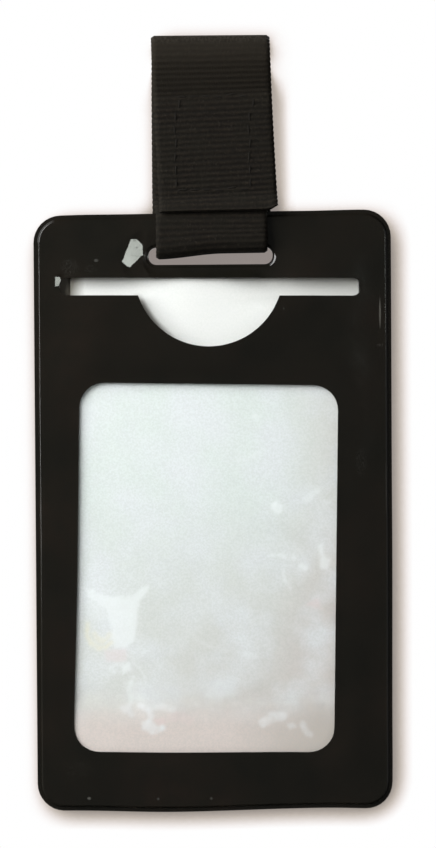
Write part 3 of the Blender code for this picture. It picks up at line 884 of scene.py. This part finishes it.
def markAt(x, z, kind):
    # How strongly the marks of one kind show at a point, with soft, slightly ragged rims
    x, z, total = x * 1000, z * 1000, 0
    softness, ragged = film["markSoftness"], film["markWander"] * wander(x, z, 0.9, 5.5)
    for points, halfWidth, strength in filmMarks[kind]:
        reach = softness + film["markWander"] + (halfWidth or 0)
        if not (min(point[0] for point in points) - reach < x < max(point[0] for point in points) + reach
                and min(point[1] for point in points) - reach < z < max(point[1] for point in points) + reach):
            continue
        patchy = 0.85 + (0.12 if halfWidth is None else 0.5) * wander(x, z, 0.7, 41.5)
        if halfWidth is None:
            away = distanceToLine(x, z, points + points[:1]) * (-1 if isInside(x, z, points) else 1)
        else:
            away = distanceToLine(x, z, points) - halfWidth
        total = max(total, patchy * strength * smooth(0.5 - (away + ragged) / softness))
    return min(total, 1)


def filmRelief(x, z, seed):
    # Slack and small creases of the clear sheet, in metres
    (slack, slackReach), (fold, foldReach) = film["slack"], film["folds"]
    ridge = 1 - abs(wander(x + 0.3 * z, z, foldReach, seed + 4))
    return slack * wander(x, z, slackReach, seed) + fold * ridge ** 4


def makeFilm(name, node, side, seed, cells):
    low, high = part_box(node)
    size = tuple(length + 2 * film["overlap"] for length in window["size"])
    stood = standing(window["centre"], (low.y + high.y) / 2, size, window["turn"])
    bm = bmesh.new()
    bmesh.ops.create_grid(bm, x_segments=cells[0], y_segments=cells[1], size=0.5, matrix=stood)
    marks = bm.verts.layers.float_color.new("marks")
    kinds = ("paintedGlare", "pink", "yellow", "speck")
    for vert in bm.verts:
        vert.co.y += side * filmRelief(vert.co.x, vert.co.z, seed)
        vert[marks] = (0, 0, 0, 1)
        if side < 0:
            paintedGlare, pink, yellow, speck = (markAt(vert.co.x, vert.co.z, kind) for kind in kinds)
            vert[marks] = (paintedGlare, pink, yellow, 1 - speck)
    piece = finishPiece(name, bm, filmFinish)
    addWall(piece, film["thickness"], 0)
    piece.visible_shadow = False
    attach(piece, "pouch")
    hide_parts(node)


filmFinish = clearFilm()
makeFilm("frontFilm", "front_window", -1, 2.6, film["frontCells"])
makeFilm("backFilm", "back_window", 1, 31.9, film["backCells"])
print("films made")


def whiteCard():
    # White card with a fine tooth, and painted shadow where the front cover's lips shade it: along its top
    # under the mouth, at the mouth's ends and along the notch's left side
    material, shader, place = newMaterial("whiteCard")
    tooth = remap(noiseAt(place, 2600, 3, 0.7), 0.35, 0.65)
    clouds = remap(noiseAt(place, 260, 3), 0.3, 0.7, 0.0, 0.3)
    axes = axesOf(place)
    aside = combine("ABSOLUTE", combine("SUBTRACT", axes["X"], card["leanMiddle"][0]))
    # Painted shadow of the mouth's upper lip along the card's top and of the mouth's left end, and painted
    # shade darkening the slot towards its right end
    paintedTopShadow = product(remap(axes["Z"], -0.0476, -0.0438, 0.0, 0.36), remap(aside, 0.004, 0.016, 0.1))
    paintedLeftShadow = remap(axes["X"], -0.0238, -0.0266)
    paintedRightShade = remap(axes["X"], 0.002, 0.026, 0.0, 0.36)
    ends = product(combine("MAXIMUM", paintedLeftShadow, paintedRightShade), remap(axes["Z"], -0.0500, -0.0482))
    # Painted shadow of the notch's left edge, in an arc on the card beside it
    centre, radius = mouth["notchCentre"], mouth["notchRadius"]
    toNotch = combineVectors("SUBTRACT", place, (centre[0], 0, centre[1]))
    fromNotch = lengthOf(combineVectors("MULTIPLY", toNotch, (1, 0, 1)))
    paintedNotchShadow = product(remap(fromNotch, radius - 0.0010, radius, 0.0, 0.85),
                     remap(fromNotch, radius + 0.0012, radius + 0.0004),
                     remap(axes["X"], -0.0070, -0.0105), remap(axes["Z"], -0.0470, -0.0485))
    paintedShade = combine("ADD", combine("ADD", ends, paintedTopShadow), paintedNotchShadow)
    paintedShade = combine("MINIMUM", paintedShade, 1.0)
    colour = layered(card["base"], (tooth, card["tooth"]), (clouds, card["cloud"]), (paintedShade, card["paintedShadow"]))
    fillInputs(shader, {"Base Color": colour, "Roughness": card["roughness"],
                              "Normal": bumpOf(*card["toothBump"], tooth)})
    return material


def makeCard():
    low, high = cardBox
    middle = ((low.x + high.x) / 2, (low.z + high.z) / 2)
    stood = standing(middle, low.y, (high.x - low.x, high.z - low.z))
    bm = bmesh.new()
    bmesh.ops.create_grid(bm, x_segments=card["cells"][0], y_segments=card["cells"][1], size=0.5, matrix=stood)
    roundCorners(bm, [vert for vert in bm.verts if len(vert.link_edges) == 2], card["cornerRadius"], 5)
    made = bmesh.ops.extrude_face_region(bm, geom=list(bm.faces))["geom"]
    backVerts = [part for part in made if isinstance(part, bmesh.types.BMVert)]
    bmesh.ops.translate(bm, verts=backVerts, vec=(0, high.y - low.y, 0))
    for vert in bm.verts:
        vert.co.y += cardLean(vert.co.x, vert.co.z)
    piece = finishPiece("cardBlank", bm, whiteCard())
    roundEdges(piece, card["edgeRounding"], 60)
    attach(piece, "card")
    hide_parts("card")


makeCard()
print("card made")


strap = {
    "width": 0.022,
    "thickness": 0.00098,
    "ribPitch": 0.00102,
    "ribHeight": 0.00011,
    "rowsPerRib": 6,
    "columns": 30,
    "columnCrowding": 0.3,    # how much closer they stand towards the selvedges
    "selvedge": 0.0006,
    "selvedgeLoop": 0.00009,
    "selvedgeFullness": 0.18,
    "runLevel": 0.0013,
    "bandLevel": 0.00233,
    "eyeRadius": 0.0037,
    "crown": 0.0005,          # this and the heights below are of the webbing's middle line
    "eyeCentre": -0.0032,
    "pinch": -0.0098,
    "runFoot": -0.0289,
    "bandTop": -0.034,
    "bandFoot": -0.0398,
    "innerEnd": -0.0091,
    "freeEnd": -0.0316,
    "freeEndLift": 0.0017,
    "lean": (0.0289, 0.41),   # how the front run drifts to the right as it comes down
    "leanReach": 0.0103,
    "tailSag": (0.0007, 3.2),     # how far the free end's right half hangs down, and over how many ribs
    "bandNarrowing": 0.06,        # round the pouch's top band
    "bandSag": (0.00038, 0.0009, 0.0001, 0.004),   # there: up all over, down at the left, askew, and its fade
    "ribWave": (0.9, 0.012),      # how uneven the ribs run, and over which length
    "pivot": -0.0304,
    "blendReach": 0.0016,
    "yarn": {"paintedGrooveShade": (0.0042, 0.0032, 0.0019), "crest": (0.0145, 0.0108, 0.0066),
             "patch": (0.0078, 0.0068, 0.0040), "warp": (0.0200, 0.0158, 0.0102), "lint": (0.034, 0.029, 0.021),
             "paintedTopLight": (0.0200, 0.0160, 0.0105), "tufts": (0.036, 0.031, 0.024)},
}


def ribbedWebbing():
    # Dull black yarn with uneven ribs, upright warp threads and lint, fuzz where it turns over the top, painted
    # shade in the rib grooves and painted light towards its top
    material, shader, place = newMaterial("ribbedWebbing")
    tree = material.node_tree
    weave = addNode(tree, "UVMap", uv_map="weave").outputs["UV"]
    # Painted shade and highlight: each rib is lighter on its crest and darker in its groove, where its own
    # shadow falls
    crest = combine("COSINE", product(axesOf(weave)["Y"], 2 * math.pi))
    slub = noiseAt(combineVectors("MULTIPLY", weave, (9.0, 1.0, 1.0)), 1.3, 2)
    crest = product(remap(crest, -1, 1), remap(slub, 0.35, 0.65, 0.25))
    threads = noiseAt(combineVectors("MULTIPLY", weave, (34.0, 0.9, 1.0)), 1.0, 2, 0.6)
    lint = noiseAt(place, 1900, 4, 0.75)
    patches = remap(noiseAt(place, 160, 3), 0.4, 0.62, 0.0, 0.5)
    height = axesOf(place)["Z"]
    tufts = product(remap(height, -0.0010, 0.0004), remap(threads, 0.45, 0.6, 0.0, 0.9))
    yarn = strap["yarn"]
    # Painted light: the yarn grows lighter towards the top of the strap, nearer the key lamp
    colour = layered(yarn["paintedGrooveShade"], (crest, yarn["crest"]), (patches, yarn["patch"]),
                     (remap(threads, 0.55, 0.75, 0.0, 0.55), yarn["warp"]),
                     (remap(lint, 0.58, 0.72, 0.0, 0.8), yarn["lint"]),
                     (remap(height, -0.0135, -0.0060, 0.0, 0.5), yarn["paintedTopLight"]), (tufts, yarn["tufts"]))
    fuzz = combine("ADD", product(threads, 1.2), lint)
    fillInputs(shader, {"Base Color": colour, "Roughness": 0.9, "Specular IOR Level": 0.2,
                              "Normal": bumpOf(0.7, 0.00012, fuzz)})
    return material


def arcPoints(centre, radius, start, end, steps=24):
    angles = [math.radians(start + (end - start) * step / steps) for step in range(steps + 1)]
    return [Vector((centre[0] + radius * math.cos(angle), centre[1] + radius * math.sin(angle)))
            for angle in angles]


def easedPoints(*corners, steps=12):
    # Points from corner to corner, which change their level softly on the way
    shares = [step / steps for step in range(steps + 1)]
    return [Vector((start[0] + (end[0] - start[0]) * smooth(share), start[1] + (end[1] - start[1]) * share))
            for start, end in zip(corners, corners[1:]) for share in shares]


def strapRoute():
    # The webbing's middle line as (y, z): free end, front run, eye, back run, round the band, inner end
    run, band, radius = strap["runLevel"], strap["bandLevel"], strap["eyeRadius"]
    pinch, foot, bandTop = strap["pinch"], strap["runFoot"], strap["bandTop"]
    away = Vector((-run, pinch - strap["eyeCentre"]))
    spread = math.degrees(math.acos(radius / away.length))
    start = math.degrees(math.atan2(away.y, away.x)) + 360 - spread
    route = easedPoints((-run - strap["freeEndLift"], strap["freeEnd"]), (-run, foot), (-run, pinch))
    route += arcPoints((0, strap["eyeCentre"]), radius, start, 180 - start)
    route += easedPoints((run, pinch), (run, foot), (band, bandTop))
    route += arcPoints((0, strap["bandFoot"] + band), band, 0, -180)
    route += easedPoints((-band, bandTop), (0, foot), (0, strap["innerEnd"]))
    kept = [route[0]]
    for point in route[1:]:
        if (point - kept[-1]).length > 1e-5:
            kept.append(point)
    return kept


def evenRoute(route, step):
    # The same line with points one step apart, softened a little so that it has no corners
    spots, left = [route[0].copy()], step
    for start, end in zip(route, route[1:]):
        length, done = (end - start).length, 0.0
        while length - done >= left:
            done += left
            left = step
            spots.append(start.lerp(end, done / length))
        left -= length - done
    for _ in range(10):
        inner = [(before + 2 * spot + after) / 4 for before, spot, after in zip(spots, spots[1:], spots[2:])]
        spots = [spots[0], *inner, spots[-1]]
    return spots


def makeWebbing():
    perRib, half = strap["rowsPerRib"], strap["width"] / 2
    line = evenRoute(strapRoute(), strap["ribPitch"] / perRib)
    rows = len(line) - 1
    bm = bmesh.new()
    bmesh.ops.create_grid(bm, x_segments=strap["columns"], y_segments=rows, size=0.5)
    bmesh.ops.recalc_face_normals(bm, faces=bm.faces)
    bmesh.ops.solidify(bm, geom=list(bm.faces), thickness=0.2)
    for index, face in enumerate(sorted(bm.faces, key=lambda face: face.calc_center_median()[:])):
        face.index = index
    bm.faces.sort()   # by index, since the new rim's faces come in another order on each run
    weave = bm.loops.layers.uv.new("weave")
    for face in bm.faces:
        for loop in face.loops:
            across, along = loop.vert.co.x, loop.vert.co.y + 0.5
            loop[weave].uv = (across * strap["width"] / 0.01, along * rows / perRib)   # centimetres, and ribs
    middle = sum(vert.co.z for vert in bm.verts) / len(bm.verts)
    crownRow = next(row for row, spot in enumerate(line) if spot.x > 0)
    wave, waveReach = strap["ribWave"]
    crowding = strap["columnCrowding"]
    for vert in bm.verts:
        across, along = vert.co.x, (vert.co.y + 0.5) * rows
        side = 1 if vert.co.z > middle else -1
        row = min(max(round(along), 0), rows)
        spot = line[row]
        ahead = (line[min(row + 1, rows)] - line[max(row - 1, 0)]).normalized()
        outward = Vector((-ahead.y, ahead.x))
        x = half * ((1 - crowding) * 2 * across + crowding * math.sin(math.pi * across))
        phase = 2 * math.pi * along / perRib + wave * wander(x, spot.y, waveReach, 11 + row / rows)
        crest = 0.5 + 0.5 * math.cos(phase)
        inset = max(abs(x) - half + strap["selvedge"], 0) / strap["selvedge"]
        fullness = max(math.sqrt(max(1 - inset * inset, 0)), strap["selvedgeFullness"])
        thick = (strap["thickness"] / 2 - strap["ribHeight"] + strap["ribHeight"] * crest) * fullness
        x += math.copysign(strap["selvedgeLoop"] * crest * min(inset, 1), x)
        y = spot.x + outward.x * side * thick
        z = spot.y + outward.y * side * thick
        if row < crownRow:
            fall = max(strap["crown"] - spot.y, 0)
            lean, bend = strap["lean"]
            z += x * (lean + 2 * bend * fall) * min(fall / strap["leanReach"], 1)
            x += fall * (lean + bend * fall)
            sag, ribs = strap["tailSag"]
            tail = smooth(1 - row / (ribs * perRib))
            z -= tail * sag * smooth(across + 0.5) * (1 - smooth((across - 0.4) / 0.1))
        elif row > crownRow:
            bandRise, leftDrop, skew, fade = strap["bandSag"]
            narrowTop = strap["runFoot"] if spot.x < 0.0003 else strap["bandTop"]
            x *= 1 - strap["bandNarrowing"] * smooth((narrowTop - spot.y) / fade)
            sag = smooth((strap["bandTop"] - spot.y) / fade)
            z += sag * (bandRise - leftDrop * smooth((0.002 - x) / 0.012) + skew * x / 0.01)
        vert.co = (x, y, z)
    piece = finishPiece("webbing", bm, ribbedWebbing(), 70)
    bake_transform(piece)
    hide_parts("strap_upper", "strap_inner_end", "strap_free_end", "strap_band_loop")


makeWebbing()
print("strap made")


stitch = {
    "centre": (0.0004, -0.0193), "size": (0.0138, 0.0174),    # of the box that they are sewn in
    "length": 0.0019, "pitch": 0.0024, "thread": 0.00019,
    "level": 0.00169,
    "tilt": 12, "shift": 0.00015,     # how uneven they are
    "colours": ((0.0030, 0.0025, 0.0018), (0.012, 0.0100, 0.0072)),
}


def sewingThread():
    material, shader, place = newMaterial("sewingThread")
    strand = noiseAt(place, 2500, 3, 0.6)
    colour = blendColours(strand, *stitch["colours"])
    fillInputs(shader, {"Base Color": colour, "Roughness": 0.85, "Specular IOR Level": 0.2,
                              "Normal": bumpOf(0.4, 0.00005, strand)})
    return material


def makeStitches(name, node, side):
    bm = bmesh.new()
    width, height = stitch["size"]
    middleX, middleZ = stitch["centre"]
    runs = [((middleX, middleZ + height / 2), width, 0), ((middleX, middleZ - height / 2), width, 0),
            ((middleX - width / 2, middleZ), height, 90), ((middleX + width / 2, middleZ), height, 90)]
    for (x, z), length, turn in runs:
        count = round(length / stitch["pitch"])
        for index in range(count):
            offset = length * ((index + 0.5) / count - 0.5)
            tilt = turn + stitch["tilt"] * wander(x + index, z, 1.7, side)
            aside = stitch["shift"] * wander(x + index, z, 1.3, side + 9)
            place = (Matrix.Translation((x + aside, side * stitch["level"], z + aside))
                     @ Matrix.Rotation(math.radians(-tilt), 4, "Y")
                     @ Matrix.Translation((offset, 0, 0))
                     @ Matrix.Diagonal((stitch["length"] / 2, stitch["thread"], stitch["thread"], 1)))
            bmesh.ops.create_icosphere(bm, subdivisions=2, radius=1, matrix=place)
    piece = finishPiece(name, bm, threadFinish)
    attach(piece, "strap")
    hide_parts(node)


threadFinish = sewingThread()
makeStitches("frontStitches", "stitching_front", -1)
makeStitches("backStitches", "stitching_back", 1)
print("stitches made")
